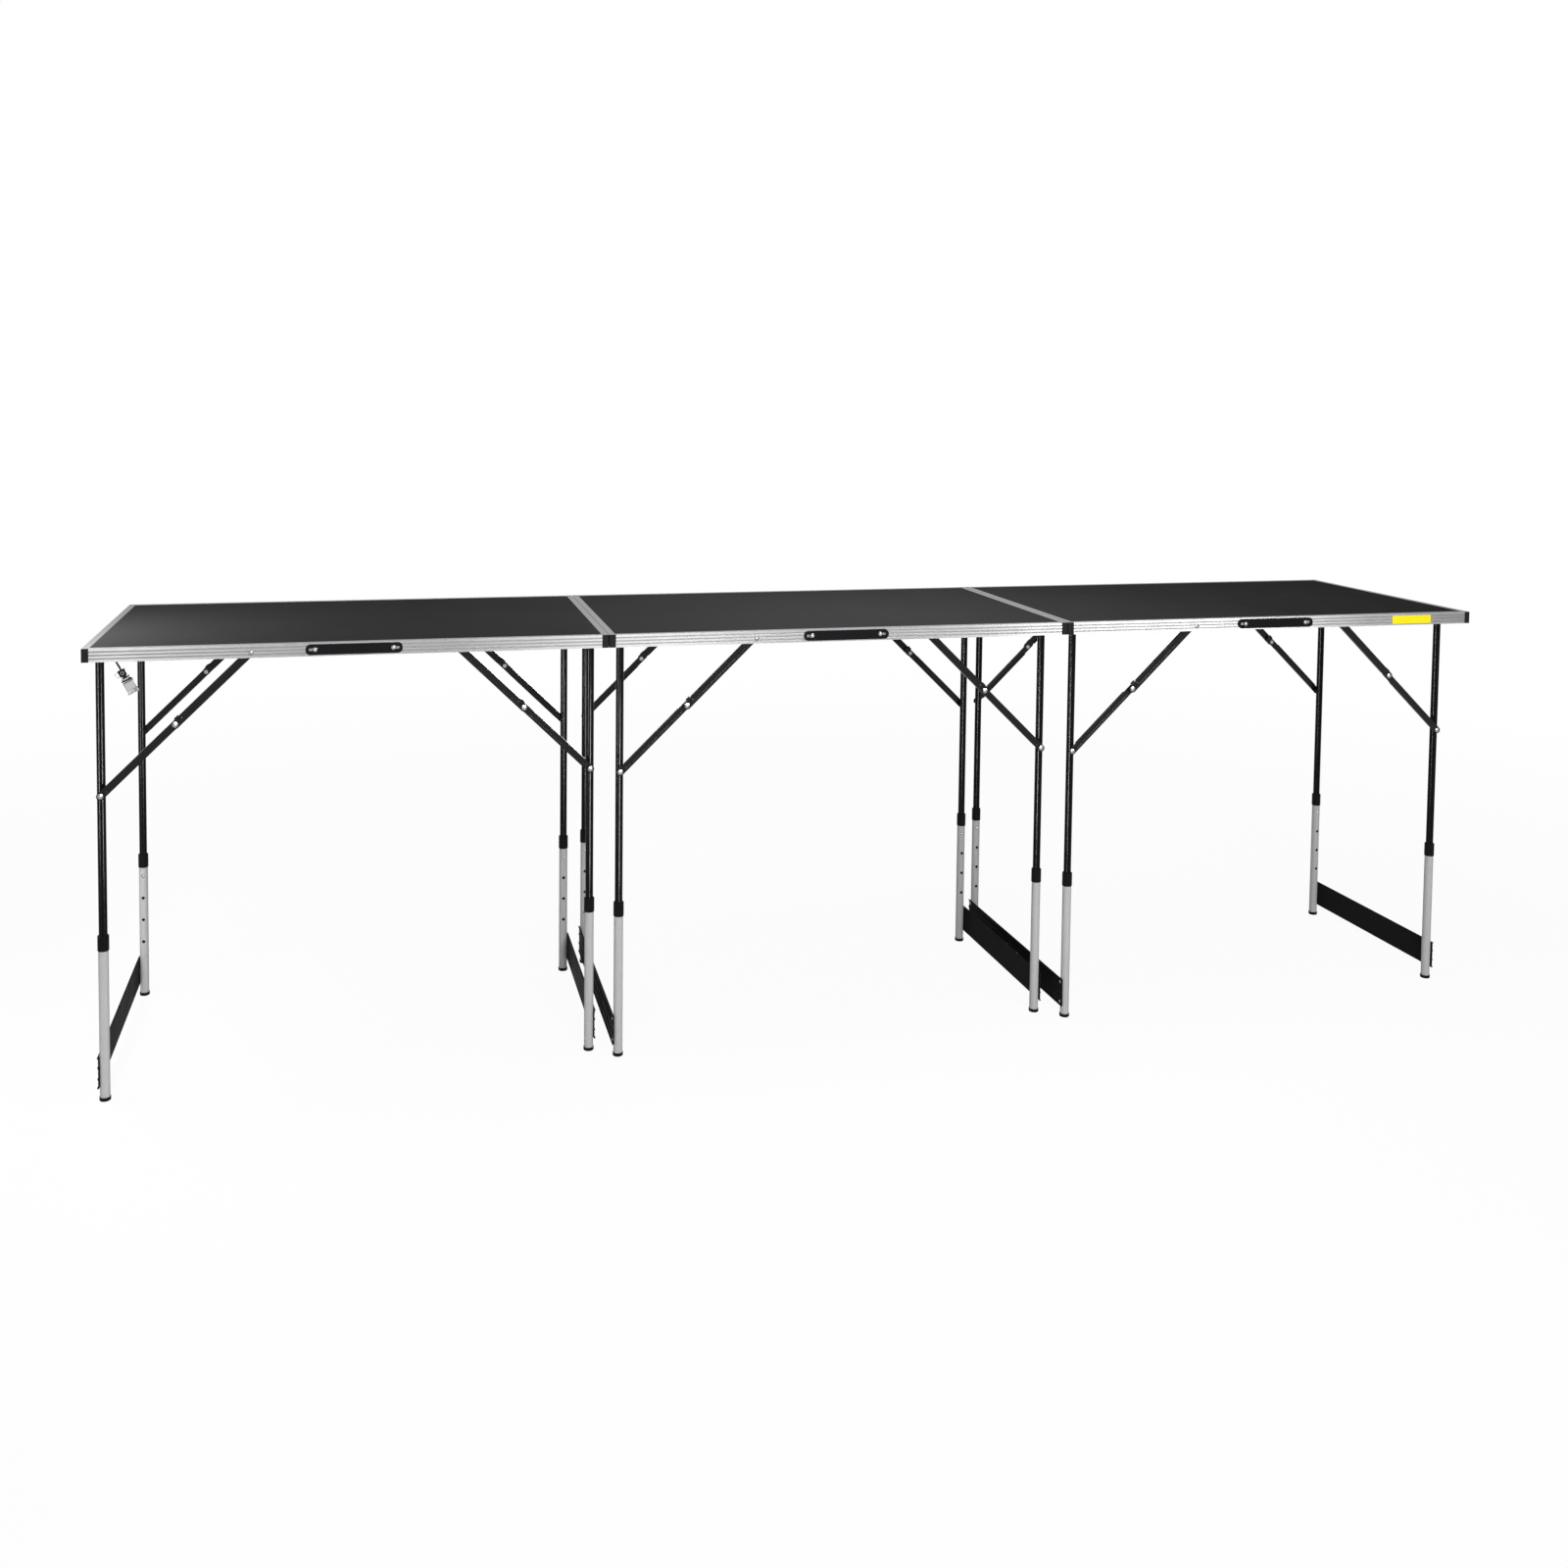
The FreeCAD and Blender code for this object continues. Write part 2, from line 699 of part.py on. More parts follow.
def spring_clip(leg_y):
    x0 = leg_inset - spring_half_width
    x1 = leg_inset + spring_half_width
    z0 = top_hole_height - spring_below
    z1 = top_hole_height + spring_above
    back = leg_y + spring_back
    back_leaf = box(x0, x1, back - spring_steel, back, z0, z1)
    bridge = box(x0, x1, leg_y - spring_seat, back, z1 - spring_steel, z1)
    return joined([back_leaf, bridge])


# The button's own leaf slides under the bridge of the clip that stays in the tube
def button(leg_y):
    x0 = leg_inset - spring_half_width
    x1 = leg_inset + spring_half_width
    z0 = top_hole_height - spring_below
    z1 = top_hole_height + spring_above - spring_steel - spring_gap
    seat = leg_y - spring_seat
    tip = leg_y - lower_radius - button_proud + button_tip
    pin = bar(button_radius, Vector(leg_inset, tip, top_hole_height), Vector(0, 1, 0), seat - tip)
    cap = dome(button_radius, button_tip, Vector(leg_inset, tip, top_hole_height), Vector(0, -1, 0))
    front_leaf = box(x0, x1, seat, seat + spring_steel, z0, z1)
    return joined([pin, cap, front_leaf])


# Pivot of the latch under the left end rail
latch_height = table_height - latch_drop
latch_pivot = Vector(latch_x, latch_y, latch_height)


def slanted(solid):
    solid.rotate(latch_pivot, Vector(0, 1, 0), -latch_slant)
    return solid


def latch_bracket():
    outer = latch_ear_inner + latch_ear_steel
    z0 = latch_height - latch_ear_radius
    z1 = latch_height + latch_ear_radius
    pieces = [box(rail_wall, rail_wall + latch_ear_steel, latch_y - outer, latch_y + outer, z0, z1)]
    for y in (latch_y - outer, latch_y + latch_ear_inner):
        pieces.append(box(rail_wall, latch_x, y, y + latch_ear_steel, z0, z1))
        center = Vector(latch_x, y, latch_height)
        pieces.append(bar(latch_ear_radius, center, Vector(0, 1, 0), latch_ear_steel))
    bracket = joined(pieces)
    start = Vector(latch_x, latch_y - outer - cut_margin, latch_height)
    length = 2 * outer + 2 * cut_margin
    return bracket.cut(bar(latch_rod_radius + running_gap, start, Vector(0, 1, 0), length))


def latch_hook():
    outer = latch_ear_inner + latch_ear_steel + play
    down = Vector(0, 0, -1)
    rod = bar(latch_rod_radius, latch_pivot, down, latch_rod_length)
    cross = bar(latch_rod_radius, Vector(latch_x, latch_y - outer, latch_height), Vector(0, 1, 0), 2 * outer)
    x0 = latch_x - saddle_half_width
    x1 = latch_x + saddle_half_width
    y0 = latch_y - saddle_half_depth
    y1 = latch_y + saddle_half_depth
    saddle_bottom = saddle_top + saddle_length
    saddle = box(x0, x1, y0, y1, latch_height - saddle_bottom, latch_height - saddle_top)
    hinge_z = latch_height - knuckle_drop
    neck_y0 = latch_y - knuckle_radius
    neck_y1 = latch_y + knuckle_radius
    neck_x0 = latch_x - knuckle_half
    neck = box(neck_x0, latch_x + knuckle_half, neck_y0, neck_y1, hinge_z, latch_height - saddle_bottom)
    knuckle = bar(knuckle_radius, Vector(neck_x0, latch_y, hinge_z), Vector(1, 0, 0), 2 * knuckle_half)
    bail_height = latch_height - saddle_top - saddle_length / 2
    bail_center = Vector(x0 - bail_radius + 2 * bail_wire, latch_y, bail_height)
    bail = Part.makeTorus(bail_radius, bail_wire, bail_center, Vector(0, 1, 0))
    eye_front = Vector(latch_x, y0 - saddle_eye_height, latch_height - saddle_top - saddle_length / 2)
    eye = bar(saddle_eye_radius, eye_front, Vector(0, 1, 0), saddle_eye_height)
    hook = joined([rod, cross, saddle, neck, knuckle, bail, eye])
    hook = hook.cut(bar(saddle_eye_bore, eye_front, Vector(0, 1, 0), saddle_eye_depth))
    hole_start = Vector(neck_x0 - cut_margin, latch_y, hinge_z)
    hole_length = 2 * knuckle_half + 2 * cut_margin
    hook = hook.cut(bar(lever_pin_radius + running_gap, hole_start, Vector(1, 0, 0), hole_length))
    return slanted(hook)


def latch_lever():
    hinge_z = latch_height - knuckle_drop
    inner = knuckle_half + knuckle_gap
    x0 = latch_x - lever_half_width
    x1 = latch_x + lever_half_width
    y0 = latch_y - lever_steel / 2
    y1 = latch_y + lever_steel / 2
    plate_top = hinge_z - knuckle_radius - knuckle_gap
    plate_bottom = hinge_z - lever_length
    pin_start = Vector(latch_x - lever_knuckle_end, latch_y, hinge_z)
    pieces = [bar(lever_pin_radius, pin_start, Vector(1, 0, 0), 2 * lever_knuckle_end)]
    for x in (latch_x - lever_knuckle_end, latch_x + inner):
        width = lever_knuckle_end - inner
        pieces.append(bar(knuckle_radius, Vector(x, latch_y, hinge_z), Vector(1, 0, 0), width))
        pieces.append(box(x, x + width, y0, y1, plate_top, hinge_z))
    pieces.append(box(x0, x1, y0, y1, plate_bottom, plate_top))
    bend = math.radians(lever_lip_bend)
    along = Vector(0, -math.sin(bend), -math.cos(bend))
    across = Vector(0, math.cos(bend), -math.sin(bend))
    inner_bend = Vector(x0, y0, plate_bottom)
    outer_bend = Vector(x0, y1, plate_bottom - lever_steel * math.tan(bend / 2))
    lip_end = inner_bend + along * lever_lip
    lip = [inner_bend, Vector(x0, y1, plate_bottom), outer_bend, lip_end + across * lever_steel, lip_end]
    pieces.append(prism(lip, Vector(2 * lever_half_width, 0, 0)))
    bead_z = hinge_z - lever_bead_drop
    pieces.append(bar(lever_bead_radius, Vector(x0, y0, bead_z), Vector(1, 0, 0), 2 * lever_half_width))
    groove_top = bead_z - lever_bead_radius
    groove = box(x0, x1, y0, y0 + lever_groove_depth, groove_top - lever_groove, groove_top)
    return slanted(joined(pieces).cut(groove))


def save(name, solids, start):
    shape = Part.Compound(solids)
    shape.translate(Vector(start, 0, 0))
    shape.exportStep("parts/" + name + ".step")


def leg_frame_nodes(leg_y, hole_sides):
    nodes = {}
    nodes["upper_legs"] = front_and_back(upper_leg(leg_y)) + front_and_back(spring_clip(leg_y))
    nodes["lower_legs"] = front_and_back(lower_leg(leg_y))
    nodes["leg_fittings"] = leg_fittings(leg_y, hole_sides)
    nodes["upper_braces"] = front_and_back(upper_link(leg_y))
    nodes["lower_braces"] = front_and_back(lower_link(leg_y))
    nodes["lower_braces"] += front_and_back(knee_rivet(leg_y))
    nodes["lower_braces"] += front_and_back(leg_rivet(leg_y))
    back, front = front_and_back(button(leg_y))
    nodes["front_button"] = [front]
    nodes["back_button"] = [back]
    return nodes


table_nodes = {
    "board": [board()],
    "rails": rails(),
    "end_plugs": end_plugs(),
    "handle": [handle()],
    "top_hardware": top_hardware(),
}
# Only the wide frame's crossbar has holes
for name, solids in leg_frame_nodes(wide_leg_y, (-1, 1)).items():
    table_nodes["wide_" + name] = solids
for name, solids in leg_frame_nodes(narrow_leg_y, ()).items():
    table_nodes["narrow_" + name] = [other_end(solid) for solid in solids]

row_length = len(table_names) * table_length + (len(table_names) - 1) * table_gap
for index, table in enumerate(table_names):
    table_start = index * (table_length + table_gap) - row_length / 2
    for name, solids in table_nodes.items():
        extra = []
        if table == "left" and name == "top_hardware":
            extra = [latch_bracket()]
        save(table + "_" + name, solids + extra, table_start)
    if table == "left":
        save("left_latch_hook", [latch_hook()], table_start)
        save("left_latch_lever", [latch_lever()], table_start)
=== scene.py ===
import json
import math
import bmesh
import bpy
from mathutils import Matrix, Vector


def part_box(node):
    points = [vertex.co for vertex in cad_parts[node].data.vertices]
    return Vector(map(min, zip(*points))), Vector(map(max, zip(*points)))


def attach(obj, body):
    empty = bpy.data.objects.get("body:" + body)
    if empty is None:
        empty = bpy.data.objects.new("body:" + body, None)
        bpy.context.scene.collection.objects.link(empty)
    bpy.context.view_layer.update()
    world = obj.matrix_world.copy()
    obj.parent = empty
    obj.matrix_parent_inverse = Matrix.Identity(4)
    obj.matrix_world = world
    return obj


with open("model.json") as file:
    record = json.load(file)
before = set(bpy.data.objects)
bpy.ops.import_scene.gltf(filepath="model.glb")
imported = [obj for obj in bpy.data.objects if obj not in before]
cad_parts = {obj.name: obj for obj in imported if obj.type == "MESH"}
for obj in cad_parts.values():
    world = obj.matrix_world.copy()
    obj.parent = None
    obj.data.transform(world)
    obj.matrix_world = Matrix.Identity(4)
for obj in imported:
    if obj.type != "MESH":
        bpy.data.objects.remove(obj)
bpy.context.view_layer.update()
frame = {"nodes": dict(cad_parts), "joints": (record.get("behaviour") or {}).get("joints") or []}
scene = bpy.context.scene
scene.view_settings.view_transform = "Standard"
print("frame loaded:", len(frame["nodes"]), "nodes")

tableNames = ("left", "mid", "right")
legSets = ("wide", "narrow")


# small helpers for node trees

def addNode(tree, kind, values=None, **settings):
    node = tree.nodes.new(kind)
    for name, value in settings.items():
        setattr(node, name, value)
    for socket, value in (values or {}).items():
        node.inputs[socket].default_value = value
    return node


def wire(tree, source, socketOut, target, socketIn):
    tree.links.new(source.outputs[socketOut], target.inputs[socketIn])


def startGroup(name, inputs, outputs):
    tree = bpy.data.node_groups.new(name, "ShaderNodeTree")
    for socketName, kind, value in inputs:
        socket = tree.interface.new_socket(socketName, in_out="INPUT", socket_type=kind)
        socket.default_value = value
    for socketName, kind in outputs:
        tree.interface.new_socket(socketName, in_out="OUTPUT", socket_type=kind)
    return tree, tree.nodes.new("NodeGroupInput"), tree.nodes.new("NodeGroupOutput")


def placeGroup(tree, group, values):
    node = tree.nodes.new("ShaderNodeGroup")
    node.node_tree = group
    for socket, value in values.items():
        node.inputs[socket].default_value = value
    return node


# effects shared by several finishes

def makeFineGrain():
    # pebbled skin of laminate, moulded plastic and enamel
    tree, entry, leave = startGroup(
        "fineGrain",
        [("Grains Per Metre", "NodeSocketFloat", 900.0), ("Softness", "NodeSocketFloat", 0.5)],
        [("Height", "NodeSocketFloat"), ("Tone", "NodeSocketFloat")],
    )
    coords = addNode(tree, "ShaderNodeTexCoord")
    cells = addNode(tree, "ShaderNodeTexVoronoi", feature="SMOOTH_F1")
    speckle = addNode(tree, "ShaderNodeTexNoise", {"Detail": 4.0, "Roughness": 0.6})
    blend = addNode(tree, "ShaderNodeMath", {1: 0.5}, operation="MULTIPLY_ADD")
    wire(tree, coords, "Object", cells, "Vector")
    wire(tree, coords, "Object", speckle, "Vector")
    wire(tree, entry, "Grains Per Metre", cells, "Scale")
    wire(tree, entry, "Grains Per Metre", speckle, "Scale")
    wire(tree, entry, "Softness", cells, "Smoothness")
    wire(tree, cells, "Distance", blend, 0)
    wire(tree, speckle, "Fac", blend, 2)
    wire(tree, blend, "Value", leave, "Height")
    wire(tree, speckle, "Fac", leave, "Tone")
    return tree


def makeDrawnStreaks():
    # lines left by the die on rails and by the mill on tubes
    tree, entry, leave = startGroup(
        "drawnStreaks",
        [("Stretch", "NodeSocketVector", (1.0, 1.0, 1.0)), ("Lines Per Metre", "NodeSocketFloat", 1500.0)],
        [("Height", "NodeSocketFloat"), ("Tone", "NodeSocketFloat")],
    )
    coords = addNode(tree, "ShaderNodeTexCoord")
    pull = addNode(tree, "ShaderNodeVectorMath", operation="MULTIPLY")
    fine = addNode(tree, "ShaderNodeTexNoise", {"Detail": 3.0, "Roughness": 0.7})
    broadScale = addNode(tree, "ShaderNodeMath", {1: 0.16}, operation="MULTIPLY")
    broad = addNode(tree, "ShaderNodeTexNoise", {"Detail": 2.0, "Roughness": 0.5})
    blend = addNode(tree, "ShaderNodeMath", {1: 0.5}, operation="MULTIPLY_ADD")
    half = addNode(tree, "ShaderNodeMath", {1: 0.5}, operation="MULTIPLY")
    wire(tree, coords, "Object", pull, 0)
    wire(tree, entry, "Stretch", pull, 1)
    wire(tree, pull, "Vector", fine, "Vector")
    wire(tree, pull, "Vector", broad, "Vector")
    wire(tree, entry, "Lines Per Metre", fine, "Scale")
    wire(tree, entry, "Lines Per Metre", broadScale, 0)
    wire(tree, broadScale, "Value", broad, "Scale")
    wire(tree, broad, "Fac", half, 0)
    wire(tree, fine, "Fac", blend, 0)
    wire(tree, half, "Value", blend, 2)
    wire(tree, fine, "Fac", leave, "Height")
    wire(tree, blend, "Value", leave, "Tone")
    return tree


def makeRubbedEdges():
    # edges that hands and stacking polish or lay bare
    tree, entry, leave = startGroup(
        "rubbedEdges",
        [("Width", "NodeSocketFloat", 0.0006), ("Amount", "NodeSocketFloat", 0.6)],
        [("Mask", "NodeSocketFloat")],
    )
    coords = addNode(tree, "ShaderNodeTexCoord")
    rounded = addNode(tree, "ShaderNodeBevel", samples=4)
    flat = addNode(tree, "ShaderNodeNewGeometry")
    facing = addNode(tree, "ShaderNodeVectorMath", operation="DOT_PRODUCT")
    sharp = addNode(tree, "ShaderNodeMapRange", {"From Min": 0.995, "From Max": 0.86})
    patchy = addNode(tree, "ShaderNodeTexNoise", {"Scale": 140.0, "Detail": 5.0, "Roughness": 0.7})
    chips = addNode(tree, "ShaderNodeMapRange", {"From Min": 0.42, "From Max": 0.62})
    both = addNode(tree, "ShaderNodeMath", operation="MULTIPLY")
    final = addNode(tree, "ShaderNodeMath", operation="MULTIPLY", use_clamp=True)
    wire(tree, entry, "Width", rounded, "Radius")
    wire(tree, rounded, "Normal", facing, 0)
    wire(tree, flat, "Normal", facing, 1)
    wire(tree, facing, "Value", sharp, "Value")
    wire(tree, coords, "Object", patchy, "Vector")
    wire(tree, patchy, "Fac", chips, "Value")
    wire(tree, sharp, "Result", both, 0)
    wire(tree, chips, "Result", both, 1)
    wire(tree, both, "Value", final, 0)
    wire(tree, entry, "Amount", final, 1)
    wire(tree, final, "Value", leave, "Mask")
    return tree


def makeHandledFilm():
    # broad cloudy change of gloss from handling and dust
    tree, entry, leave = startGroup(
        "handledFilm",
        [("Patches Per Metre", "NodeSocketFloat", 7.0),
         ("Low", "NodeSocketFloat", 0.0), ("High", "NodeSocketFloat", 1.0)],
        [("Value", "NodeSocketFloat")],
    )
    coords = addNode(tree, "ShaderNodeTexCoord")
    cloud = addNode(tree, "ShaderNodeTexNoise", {"Detail": 6.0, "Roughness": 0.62, "Distortion": 0.4})
    spread = addNode(tree, "ShaderNodeMapRange", {"From Min": 0.3, "From Max": 0.7})
    wire(tree, coords, "Object", cloud, "Vector")
    wire(tree, entry, "Patches Per Metre", cloud, "Scale")
    wire(tree, cloud, "Fac", spread, "Value")
    wire(tree, entry, "Low", spread, "To Min")
    wire(tree, entry, "High", spread, "To Max")
    wire(tree, spread, "Result", leave, "Value")
    return tree


def makeSoftEdges():
    # rounds the shading of bent steel and moulded edges, so that they catch light
    tree, entry, leave = startGroup(
        "softEdges", [("Width", "NodeSocketFloat", 0.0008)], [("Normal", "NodeSocketVector")])
    rounded = addNode(tree, "ShaderNodeBevel", samples=6)
    wire(tree, entry, "Width", rounded, "Radius")
    wire(tree, rounded, "Normal", leave, "Normal")
    return tree


fineGrain = makeFineGrain()
softEdges = makeSoftEdges()
drawnStreaks = makeDrawnStreaks()
rubbedEdges = makeRubbedEdges()
handledFilm = makeHandledFilm()
print("effect groups built")


def startFinish(name, fixed):
    finish = bpy.data.materials.new(name)
    finish.use_nodes = True
    shader = finish.node_tree.nodes["Principled BSDF"]
    for socket, value in fixed.items():
        shader.inputs[socket].default_value = value
    return finish, finish.node_tree, shader


def mixColours(tree, low, high):
    mix = tree.nodes.new("ShaderNodeMix")
    mix.data_type = "RGBA"
    mix.inputs[6].default_value = (*low, 1.0)
    mix.inputs[7].default_value = (*high, 1.0)
    return mix


def addBump(tree, shader, source, socket, strength, distance):
    bump = addNode(tree, "ShaderNodeBump", {"Strength": strength, "Distance": distance})
    wire(tree, source, socket, bump, "Height")
    wire(tree, bump, "Normal", shader, "Normal")
    return bump


# grained finishes: board, plugs, strap, collars and black enamel
def makeGrained(name, look):
    finish, tree, shader = startFinish(name, look["fixed"])
    grain = placeGroup(tree, fineGrain, {"Grains Per Metre": look["grains"], "Softness": look["softness"]})
    film = placeGroup(tree, handledFilm, {
        "Patches Per Metre": look["patches"], "Low": look["gloss"][0], "High": look["gloss"][1]})
    colour = mixColours(tree, look["dark"], look["light"])
    wire(tree, grain, "Tone", colour, 0)
    wire(tree, film, "Value", shader, "Roughness")
    if look.get("edge"):
        edge = placeGroup(tree, rubbedEdges, {"Width": look["edgeWidth"], "Amount": look["edgeAmount"]})
        worn = mixColours(tree, look["dark"], look["edge"])
        tree.links.new(colour.outputs[2], worn.inputs[6])
        wire(tree, edge, "Mask", worn, 0)
        tree.links.new(worn.outputs[2], shader.inputs["Base Color"])
    else:
        tree.links.new(colour.outputs[2], shader.inputs["Base Color"])
    bump = addBump(tree, shader, grain, "Height", look["bump"], look["bumpDepth"])
    if look.get("soft"):
        soft = placeGroup(tree, softEdges, {"Width": look["soft"]})
        wire(tree, soft, "Normal", bump, "Normal")
    return finish


# metal finishes: rails, silver tubes, zinc and chrome
def makeDrawn(name, look):
    finish, tree, shader = startFinish(name, look["fixed"])
    streaks = placeGroup(tree, drawnStreaks, {"Stretch": look["stretch"], "Lines Per Metre": look["lines"]})
    film = placeGroup(tree, handledFilm, {
        "Patches Per Metre": look["patches"], "Low": look["gloss"][0], "High": look["gloss"][1]})
    edge = placeGroup(tree, rubbedEdges, {"Width": look["edgeWidth"], "Amount": look["edgeAmount"]})
    colour = mixColours(tree, look["dark"], look["light"])
    worn = mixColours(tree, look["dark"], look["edge"])
    wire(tree, streaks, "Tone", colour, 0)
    tree.links.new(colour.outputs[2], worn.inputs[6])
    wire(tree, edge, "Mask", worn, 0)
    tree.links.new(worn.outputs[2], shader.inputs["Base Color"])
    rough = addNode(tree, "ShaderNodeMath", {1: look["lineGloss"]}, operation="MULTIPLY_ADD")
    wire(tree, streaks, "Tone", rough, 0)
    wire(tree, film, "Value", rough, 2)
    wire(tree, rough, "Value", shader, "Roughness")
    addBump(tree, shader, streaks, "Height", look["bump"], look["bumpDepth"])
    return finish


boardLook = {
    "dark": (0.017, 0.017, 0.0174), "light": (0.036, 0.036, 0.0365),
    "grains": 1100.0, "softness": 0.6, "patches": 5.0, "gloss": (0.66, 0.8),
    "bump": 0.2, "bumpDepth": 0.0002,
    "fixed": {"Specular IOR Level": 0.002},
}
plugLook = {
    "dark": (0.010, 0.010, 0.011), "light": (0.022, 0.022, 0.023), "soft": 0.0008,
    "grains": 1800.0, "softness": 0.4, "patches": 40.0, "gloss": (0.4, 0.55),
    "bump": 0.2, "bumpDepth": 0.0002,
    "edge": (0.05, 0.05, 0.051), "edgeWidth": 0.0007, "edgeAmount": 0.45,
    "fixed": {"Specular IOR Level": 0.05},
}
strapLook = {
    "dark": (0.003, 0.003, 0.0036), "light": (0.008, 0.008, 0.0095), "soft": 0.0009,
    "grains": 1300.0, "softness": 0.7, "patches": 30.0, "gloss": (0.42, 0.58),
    "bump": 0.3, "bumpDepth": 0.0003,
    "edge": (0.045, 0.045, 0.047), "edgeWidth": 0.0006, "edgeAmount": 0.4,
    "fixed": {"Specular IOR Level": 0.06},
}
collarLook = {
    "dark": (0.004, 0.004, 0.0045), "light": (0.010, 0.010, 0.0105), "soft": 0.0006,
    "grains": 1500.0, "softness": 0.5, "patches": 35.0, "gloss": (0.38, 0.52),
    "bump": 0.25, "bumpDepth": 0.0002,
    "edge": (0.04, 0.04, 0.04), "edgeWidth": 0.0006, "edgeAmount": 0.4,
    "fixed": {"Specular IOR Level": 0.04},
}
enamelLook = {
    "dark": (0.003, 0.003, 0.0032), "light": (0.008, 0.008, 0.0085),
    "grains": 420.0, "softness": 0.9, "patches": 18.0, "gloss": (0.16, 0.22),
    "bump": 0.006, "bumpDepth": 0.0002,
    "fixed": {"Specular IOR Level": 0.03},
}
linkLook = {  # pressed links: rounded edges, rubbed where the links pass each other
    "soft": 0.0009, "edge": (0.12, 0.115, 0.11), "edgeWidth": 0.0004, "edgeAmount": 0.25,
    "fixed": {"Specular IOR Level": 0.2},
}
barLook = {  # crossbars are sprayed duller than the tubes
    "soft": 0.0007, "gloss": (0.42, 0.56), "bump": 0.12,
    "dark": (0.010, 0.010, 0.0104), "light": (0.020, 0.020, 0.0206),
    "edge": (0.10, 0.097, 0.094), "edgeWidth": 0.0005, "edgeAmount": 0.3,
    "fixed": {"Specular IOR Level": 0.004},
}
railLook = {
    "dark": (0.20, 0.20, 0.203), "light": (0.29, 0.29, 0.295),
    "lines": 1600.0, "patches": 6.0, "gloss": (0.2, 0.28), "lineGloss": 0.16,
    "bump": 0.06, "bumpDepth": 0.0001,
    "edge": (0.7, 0.7, 0.71), "edgeWidth": 0.0005, "edgeAmount": 0.3,
    "fixed": {"Metallic": 1.0},
}
fluteShadeLook = {  # painted shade: darker, duller metal at the bottom of the flutes, where shade falls
    "dark": (0.15, 0.15, 0.15), "light": (0.21, 0.21, 0.213), "gloss": (0.3, 0.4), "edgeAmount": 0.1,
}
lipShadeLook = {  # upper lip of the end rails, scuffed by stacking, painted darker than the rails as a dimmer reflection, with painted shade along its edges
    "dark": (0.16, 0.16, 0.162), "light": (0.25, 0.25, 0.253), "gloss": (0.34, 0.44),
    "edge": (0.03, 0.03, 0.03), "edgeWidth": 0.001, "edgeAmount": 0.9,
}
tubeLook = {
    "dark": (0.36, 0.36, 0.362), "light": (0.54, 0.54, 0.542),
    "lines": 1400.0, "patches": 14.0, "gloss": (0.42, 0.52), "lineGloss": 0.12,
    "bump": 0.08, "bumpDepth": 0.0001,
    "edge": (0.62, 0.62, 0.62), "edgeWidth": 0.0004, "edgeAmount": 0.3,
    "fixed": {"Specular IOR Level": 0.0},
}
boreShadeLook = {  # bare steel inside the tubes, seen through the height holes, painted near black as shade; it also paints the shade in the latch lever's strip and groove
    "dark": (0.006, 0.006, 0.006), "light": (0.02, 0.019, 0.018), "gloss": (0.5, 0.6), "edgeAmount": 0.05,
}
zincLook = {
    "dark": (0.25, 0.25, 0.247), "light": (0.44, 0.44, 0.434),
    "lines": 900.0, "patches": 160.0, "gloss": (0.14, 0.26), "lineGloss": 0.1,
    "bump": 0.05, "bumpDepth": 0.0001,
    "edge": (0.9, 0.9, 0.89), "edgeWidth": 0.0004, "edgeAmount": 0.7, "stretch": (1.0, 1.0, 1.0),
    "fixed": {"Metallic": 1.0},
}
chromeLook = {
    "dark": (0.40, 0.40, 0.41), "light": (0.66, 0.66, 0.67),
    "lines": 500.0, "patches": 90.0, "gloss": (0.05, 0.14), "lineGloss": 0.08,
    "bump": 0.03, "bumpDepth": 0.0001,
    "edge": (0.93, 0.93, 0.94), "edgeWidth": 0.0003, "edgeAmount": 0.6, "stretch": (1.0, 1.0, 1.0),
    "fixed": {"Metallic": 1.0},
}

# streaks run along the named axis
lengthwise = {"x": (0.006, 1.0, 1.0), "y": (1.0, 0.006, 1.0), "z": (1.0, 1.0, 0.006)}
blackLaminate = makeGrained("blackLaminate", boardLook)
plugPlastic = makeGrained("plugPlastic", plugLook)
strapPlastic = makeGrained("strapPlastic", strapLook)
collarPlastic = makeGrained("collarPlastic", collarLook)
tubeEnamel = makeGrained("tubeEnamel", enamelLook)
linkEnamel = makeGrained("linkEnamel", {**enamelLook, **linkLook})
barEnamel = makeGrained("barEnamel", {**enamelLook, **barLook})
longRailMetal = makeDrawn("longRailMetal", {**railLook, "stretch": lengthwise["x"]})
endRailMetal = makeDrawn("endRailMetal", {**railLook, "stretch": lengthwise["y"]})
eyeletMetalAndFluteShade = makeDrawn("eyeletMetalAndFluteShade", {**railLook, **fluteShadeLook, "stretch": lengthwise["x"]})
shadedLipMetal = makeDrawn("shadedLipMetal", {**railLook, **lipShadeLook, "stretch": lengthwise["y"]})
silverTube = makeDrawn("silverTube", {**tubeLook, "stretch": lengthwise["z"]})
boreAndRecessShade = makeDrawn("boreAndRecessShade", {**tubeLook, **boreShadeLook, "stretch": lengthwise["z"]})
zincPlate = makeDrawn("zincPlate", zincLook)
chromePlate = makeDrawn("chromePlate", chromeLook)
print("finishes built:", len(bpy.data.materials))


# finishes go on the carried-over nodes; a face takes a zone's finish when all its corners lie in the zone

def dress(node, base, zones=()):
    mesh = frame["nodes"][node].data
    mesh.materials.clear()
    for finish in [base] + [zone[0] for zone in zones]:
        mesh.materials.append(finish)
    for face in mesh.polygons:
        corners = [mesh.vertices[index].co for index in face.vertices]
        face.material_index = 0
        for number, (finish, inside) in enumerate(zones, 1):
            if all(inside(corner) for corner in corners):
                face.material_index = number
                break


def nearAxis(x, z, radius):
    return lambda p: math.hypot(p.x - x, p.z - z) < radius


def anyOf(*tests):
    return lambda p: any(test(p) for test in tests)


